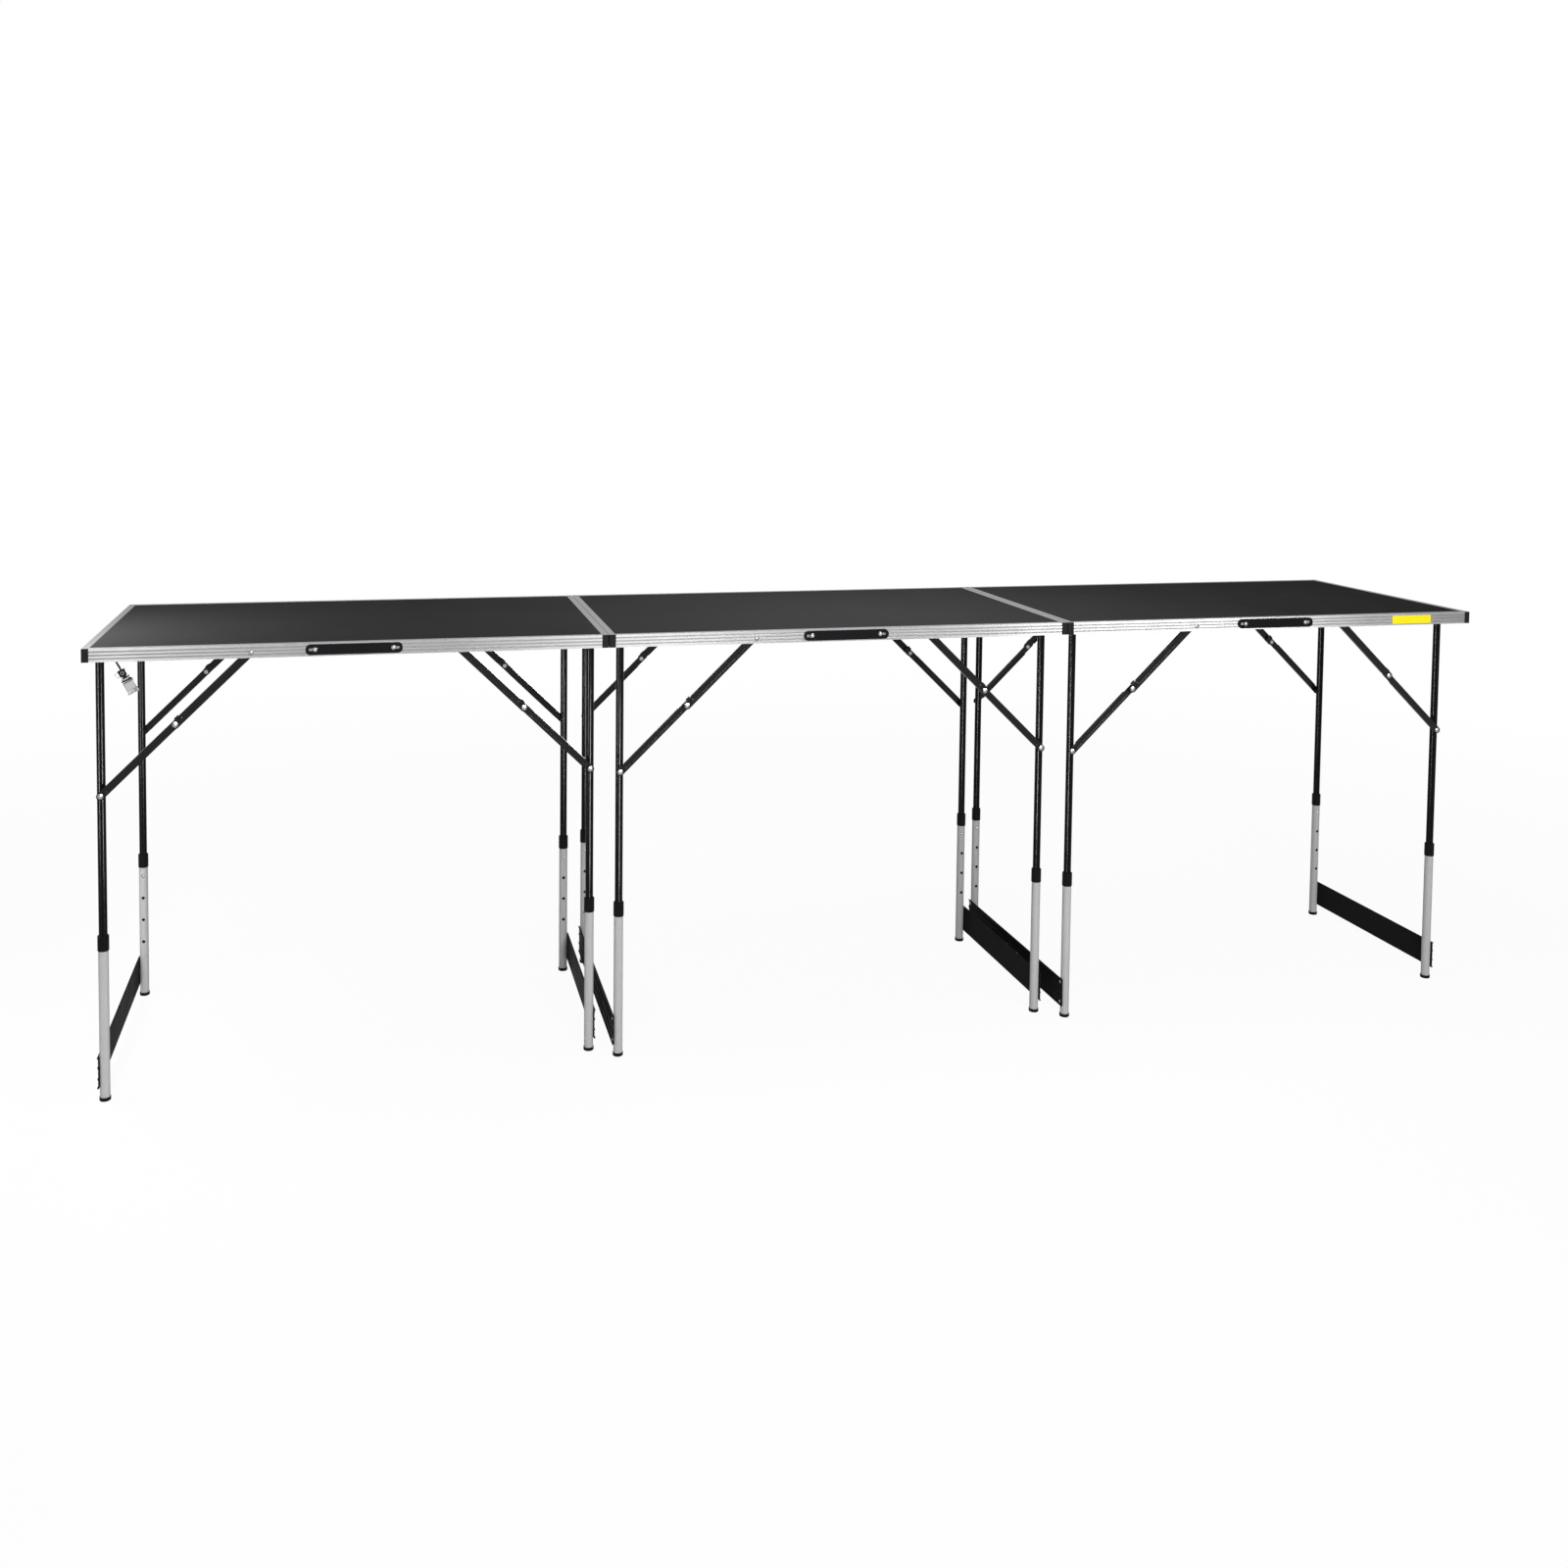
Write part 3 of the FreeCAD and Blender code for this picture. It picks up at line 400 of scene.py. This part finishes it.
latchPlan = {  # lengths down the latch's rod from its swing axis
    "swing": (-1.4758, 0.865), "down": (0.469472, -0.882948), "eyeFront": -0.16505,
    "knuckleFrom": 0.0661, "strip": (0.0735, 0.0769), "groove": (0.0789, 0.0805), "plateFront": -0.1601,
    "lipFrom": 0.0944, "bailFrom": -0.00695,
}
legPlan = {
    "inset": 0.0275, "tableLength": 1.0, "wideY": 0.2635, "narrowY": 0.2245,
    "boreRadius": 0.0089, "collarRadius": 0.0115, "collarLow": 0.2935, "footTop": 0.0075,
    "legRivetZ": 0.5970, "rivetRadius": 0.0054, "screwOut": 0.0114,
    "endRailDepth": 0.0145, "fluteFloor": (0.0004, 0.0008), "lipEdge": 0.002,
}
kneePlace = {joint["name"]: joint["pos_m"] for joint in frame["joints"] if joint["name"].endswith("_knee")}


def tableEnds(name):
    low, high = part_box(name + "_rails")
    return low.x, high.x


def dressTable(name):
    startX, endX = tableEnds(name)
    depth = legPlan["endRailDepth"]
    dress(name + "_board", blackLaminate)
    low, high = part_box(name + "_rails")
    floorDepth = legPlan["fluteFloor"]

    def fluteFloor(p):
        sunk = min(p.x - startX, endX - p.x, p.y - low.y, high.y - p.y)
        return floorDepth[0] < sunk < floorDepth[1] and p.z < high.z - legPlan["lipEdge"]

    def onEndRail(p):
        return p.x < startX + depth or p.x > endX - depth

    dress(name + "_rails", longRailMetal, [
        # the flute floors take a darker finish, as painted shade in the grooves
        (eyeletMetalAndFluteShade, fluteFloor),
        # the upper lips of the end rails take a darker finish, as painted reflection and painted shade
        (shadedLipMetal, lambda p: onEndRail(p) and p.z > high.z - legPlan["lipEdge"]),
        (endRailMetal, onEndRail)])
    dress(name + "_end_plugs", plugPlastic)
    dress(name + "_handle", strapPlastic)
    dress(name + "_top_hardware", zincPlate)


def dressLegs(name, legSet):
    startX, endX = tableEnds(name)
    legX = startX + legPlan["inset"] if legSet == "wide" else endX - legPlan["inset"]
    outward = -1.0 if legSet == "wide" else 1.0
    legY = legPlan[legSet + "Y"]
    prefix = name + "_" + legSet
    knee = kneePlace[prefix + "_knee"]

    def onLeg(p):
        return math.hypot(p.x - legX, abs(p.y) - legY) < legPlan["collarRadius"]

    def inBore(p):
        return math.hypot(p.x - legX, abs(p.y) - legY) < legPlan["boreRadius"]

    def collarOrFoot(p):
        return onLeg(p) and (p.z > legPlan["collarLow"] or p.z < legPlan["footTop"])

    def screwHead(p):
        return (p.x - legX) * outward > legPlan["screwOut"] and abs(abs(p.y) - legY) < 0.004

    rivets = anyOf(
        nearAxis(knee[0], knee[2], legPlan["rivetRadius"]),
        nearAxis(legX, legPlan["legRivetZ"], legPlan["rivetRadius"]))
    dress(prefix + "_upper_legs", tubeEnamel)
    # the inside of each tube takes a near black finish, as painted shade
    dress(prefix + "_lower_legs", silverTube, [(boreAndRecessShade, inBore)])
    dress(prefix + "_leg_fittings", barEnamel, [(collarPlastic, collarOrFoot), (zincPlate, screwHead)])
    dress(prefix + "_upper_braces", linkEnamel)
    dress(prefix + "_lower_braces", linkEnamel, [(zincPlate, rivets)])
    dress(prefix + "_front_button", zincPlate)
    dress(prefix + "_back_button", zincPlate)


def dressLatch():
    swing, down = latchPlan["swing"], latchPlan["down"]

    def along(p):
        return (p.x - swing[0]) * down[0] + (p.z - swing[1]) * down[1]

    def across(p):
        return (p.z - swing[1]) * down[0] - (p.x - swing[0]) * down[1]

    def shaded(p):
        between = [latchPlan[part][0] < along(p) < latchPlan[part][1] for part in ("strip", "groove")]
        return p.y < latchPlan["plateFront"] and any(between)

    dress("left_latch_hook", linkEnamel, [
        (eyeletMetalAndFluteShade, lambda p: p.y < latchPlan["eyeFront"]),
        (chromePlate, lambda p: along(p) > latchPlan["knuckleFrom"] or across(p) < latchPlan["bailFrom"])])
    # the lever's bent lip takes the darker zinc finish, as painted shade
    dress("left_latch_lever", chromePlate, [
        # the lever's strip and groove take the near black finish, as painted shade
        (boreAndRecessShade, shaded), (zincPlate, lambda p: along(p) > latchPlan["lipFrom"])])


for tableName in tableNames:
    dressTable(tableName)
    for legSetName in legSets:
        dressLegs(tableName, legSetName)
dressLatch()
print("carried-over nodes dressed")


# blank yellow sticker, a flat sheet over the flutes of the right table's front rail
stickerLook = {
    "start": 0.797, "width": 0.100, "top": 0.0042, "height": 0.0187, "thickness": 0.00016,
    "corner": 0.0012, "cornerSteps": 6, "lift": 0.0001,
    "yellow": (0.88, 0.76, 0.002), "paler": (0.93, 0.81, 0.004),
}


def makeStickerFinish(look):
    finish, tree, shader = startFinish("stickerVinyl", {"Specular IOR Level": 0.35})
    film = placeGroup(tree, handledFilm, {"Patches Per Metre": 60.0, "Low": 0.35, "High": 0.5})
    grain = placeGroup(tree, fineGrain, {"Grains Per Metre": 2500.0, "Softness": 0.8})
    colour = mixColours(tree, look["yellow"], look["paler"])
    wire(tree, grain, "Tone", colour, 0)
    tree.links.new(colour.outputs[2], shader.inputs["Base Color"])
    wire(tree, film, "Value", shader, "Roughness")
    addBump(tree, shader, grain, "Height", 0.05, 0.0001)
    return finish


def makeSticker(look):
    startX, railTop = tableEnds("right")[0] + look["start"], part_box("right_rails")[1].z
    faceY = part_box("right_rails")[0].y - look["lift"]
    halfWide, halfHigh = look["width"] / 2.0 - look["corner"], look["height"] / 2.0 - look["corner"]
    middle = Vector((startX + look["width"] / 2.0, faceY, railTop - look["top"] - look["height"] / 2.0))
    outline = []
    for quarter, (sideX, sideZ) in enumerate(((1, 1), (-1, 1), (-1, -1), (1, -1))):
        for step in range(look["cornerSteps"] + 1):
            angle = (quarter + step / look["cornerSteps"]) * math.pi / 2.0
            x = sideX * halfWide + look["corner"] * math.cos(angle)
            z = sideZ * halfHigh + look["corner"] * math.sin(angle)
            outline.append(middle + Vector((x, 0.0, z)))
    shape = bmesh.new()
    outward = Vector((0.0, -look["thickness"], 0.0))
    front = [shape.verts.new(point + outward) for point in outline]
    back = [shape.verts.new(point) for point in outline]
    shape.faces.new(front)
    shape.faces.new(back)
    for index in range(len(outline)):
        shape.faces.new((front[index - 1], front[index], back[index], back[index - 1]))
    bmesh.ops.recalc_face_normals(shape, faces=shape.faces)
    mesh = bpy.data.meshes.new("blankSticker")
    shape.to_mesh(mesh)
    shape.free()
    piece = bpy.data.objects.new("blankSticker", mesh)
    scene.collection.objects.link(piece)
    mesh.materials.append(makeStickerFinish(look))
    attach(piece, "right_top")


makeSticker(stickerLook)
print("sticker made")


# studio: white floor and world, soft lamps
studio = {
    "floorHalf": 40.0, "floorColour": 0.9, "whiteShare": 0.95, "fadeFrom": 2.0, "fadeTo": 4.5, "fill": 0.18,
    "lamps": (
        ("leftTopLamp", (-1.72, -0.15, 1.12), (-1.5, -0.15, 0.885), (0.25, 0.5), 9.0),
        ("midTopLamp", (0.1, -0.2, 1.75), (0.1, 0.0, 0.885), (0.8, 0.6), 15.0),
        ("frontLamp", (0.0, -5.2, 2.2), (0.0, 0.0, 0.5), (2.4, 2.0), 215.0),
        ("backLamp", (0.0, 5.2, 0.45), (0.0, 0.0, 0.45), (3.0, 0.7), 90.0),
    ),
    # strips that only draw lines of light down the black tubes and links, or along the rails
    "strips": (
        ("frontStrip", (-0.37, -1.3, 0.26), (-0.37, 0.0, 0.26), (0.3, 0.5), 110.0, "blackTubes"),
        ("leftStrip", (-2.7, -1.6, 0.3), (-1.2, 0.0, 0.3), (0.3, 0.58), 130.0, "blackTubes"),
        ("linkStrip", (0.0, -0.65, 1.5), (0.0, -0.2, 0.7), (3.2, 0.25), 130.0, "blackLinks"),
        ("leftRailStrip", (-1.8, -2.4, 0.57), (-1.45, 0.0, 0.87), (0.35, 0.5), 5.0, "railMetal"),
        ("midRailStrip", (-0.05, -2.4, 0.57), (-0.45, 0.0, 0.87), (0.5, 0.5), 5.0, "railMetal"),
        ("rightRailStrip", (1.8, -2.4, 0.57), (0.7, 0.0, 0.87), (0.9, 0.5), 18.0, "railMetal"),
    ),
    "receivers": {
        "blackTubes": ("_upper_legs",), "blackLinks": ("_braces", "_latch_hook"), "railMetal": ("_rails",)},
}


def seenRays(tree):
    path = addNode(tree, "ShaderNodeLightPath")
    first = addNode(tree, "ShaderNodeMath", operation="MAXIMUM")
    second = addNode(tree, "ShaderNodeMath", operation="MAXIMUM")
    wire(tree, path, "Is Camera Ray", first, 0)
    wire(tree, path, "Is Glossy Ray", first, 1)
    wire(tree, path, "Is Transmission Ray", second, 0)
    wire(tree, first, "Value", second, 1)
    return second


def makeFloor(plan):
    mesh = bpy.data.meshes.new("studioFloor")
    half = plan["floorHalf"]
    mesh.from_pydata(
        [(-half, -half, 0.0), (half, -half, 0.0), (half, half, 0.0), (-half, half, 0.0)], [], [(0, 1, 2, 3)])
    floor = bpy.data.objects.new("studioFloor", mesh)
    scene.collection.objects.link(floor)
    floor.location.z = -0.0006
    paint = bpy.data.materials.new("floorWhite")
    paint.use_nodes = True
    tree = paint.node_tree
    tree.nodes.clear()
    diffuse = addNode(tree, "ShaderNodeBsdfDiffuse", {"Color": (*[plan["floorColour"]] * 3, 1.0)})
    glow = addNode(tree, "ShaderNodeEmission", {"Strength": 1.0})
    clear = addNode(tree, "ShaderNodeBsdfTransparent")
    share = addNode(tree, "ShaderNodeMath", operation="MULTIPLY")
    coords = addNode(tree, "ShaderNodeTexCoord")
    reach = addNode(tree, "ShaderNodeVectorMath", operation="LENGTH")
    fade = addNode(tree, "ShaderNodeMapRange", {
        "From Min": plan["fadeFrom"], "From Max": plan["fadeTo"], "To Min": plan["whiteShare"]})
    side = addNode(tree, "ShaderNodeNewGeometry")
    mix = addNode(tree, "ShaderNodeMixShader")
    under = addNode(tree, "ShaderNodeMixShader")
    out = addNode(tree, "ShaderNodeOutputMaterial")
    seen = seenRays(tree)
    wire(tree, coords, "Object", reach, 0)
    wire(tree, reach, "Value", fade, "Value")
    wire(tree, seen, "Value", share, 0)
    wire(tree, fade, "Result", share, 1)
    wire(tree, share, "Value", mix, "Fac")
    tree.links.new(diffuse.outputs[0], mix.inputs[1])
    tree.links.new(glow.outputs[0], mix.inputs[2])
    wire(tree, side, "Backfacing", under, "Fac")
    tree.links.new(mix.outputs[0], under.inputs[1])
    tree.links.new(clear.outputs[0], under.inputs[2])
    tree.links.new(under.outputs[0], out.inputs["Surface"])
    mesh.materials.append(paint)


def makeWorld(plan):
    world = bpy.data.worlds.new("studioWorld")
    scene.world = world
    world.use_nodes = True
    tree = world.node_tree
    tree.nodes.clear()
    fill = addNode(tree, "ShaderNodeBackground", {"Color": (1.0, 1.0, 1.0, 1.0), "Strength": plan["fill"]})
    white = addNode(tree, "ShaderNodeBackground", {"Color": (1.0, 1.0, 1.0, 1.0), "Strength": 1.0})
    mix = addNode(tree, "ShaderNodeMixShader")
    out = addNode(tree, "ShaderNodeOutputWorld")
    seen = seenRays(tree)
    wire(tree, seen, "Value", mix, "Fac")
    tree.links.new(fill.outputs[0], mix.inputs[1])
    tree.links.new(white.outputs[0], mix.inputs[2])
    tree.links.new(mix.outputs[0], out.inputs["Surface"])


def makeLamp(name, place, target, size, power):
    lamp = bpy.data.lights.new(name, "AREA")
    lamp.shape = "RECTANGLE"
    lamp.size, lamp.size_y = size
    lamp.energy = power
    body = bpy.data.objects.new(name, lamp)
    scene.collection.objects.link(body)
    body.location = place
    body.visible_camera = False
    body.rotation_mode = "QUATERNION"
    body.rotation_quaternion = (Vector(target) - Vector(place)).to_track_quat("-Z", "Y")
    return body


def makeStrips(plan):
    groups = {}
    for name, endings in plan["receivers"].items():
        groups[name] = bpy.data.collections.new(name)
        for node, piece in frame["nodes"].items():
            if node.endswith(endings):
                groups[name].objects.link(piece)
    for *strip, receiver in plan["strips"]:
        body = makeLamp(*strip)
        body.visible_diffuse = False
        body.light_linking.receiver_collection = groups[receiver]


makeFloor(studio)
makeWorld(studio)
for lampPlan in studio["lamps"]:
    makeLamp(*lampPlan)
makeStrips(studio)
print("studio lit")


# camera at the photograph's viewing angle
photoCamera = {
    "imageSize": 1600.0, "focal": 1569.3, "centre": (736.0, 480.0), "sensor": 36.0,
    "place": (-0.9618, -3.356, 1.3864), "yaw": 12.728, "pitch": 3.093, "roll": 0.516,
}


def makeCamera(plan):
    lens = bpy.data.cameras.new("photoCamera")
    lens.sensor_width = plan["sensor"]
    lens.lens = plan["focal"] / plan["imageSize"] * plan["sensor"]
    middle = plan["imageSize"] / 2.0
    lens.shift_x = (middle - plan["centre"][0]) / plan["imageSize"]
    lens.shift_y = (plan["centre"][1] - middle) / plan["imageSize"]
    lens.clip_end = 200.0
    yaw, pitch, roll = (math.radians(plan[key]) for key in ("yaw", "pitch", "roll"))
    ahead = Vector((math.sin(yaw) * math.cos(pitch), math.cos(yaw) * math.cos(pitch), -math.sin(pitch)))
    right = Vector((math.cos(yaw), -math.sin(yaw), 0.0))
    up = right.cross(ahead)
    rightRolled = math.cos(roll) * right + math.sin(roll) * up
    upRolled = math.cos(roll) * up - math.sin(roll) * right
    turn = Matrix((rightRolled, upRolled, -ahead)).transposed().to_4x4()
    camera = bpy.data.objects.new("photoCamera", lens)
    scene.collection.objects.link(camera)
    camera.matrix_world = Matrix.Translation(Vector(plan["place"])) @ turn
    scene.camera = camera


makeCamera(photoCamera)
print("camera set")
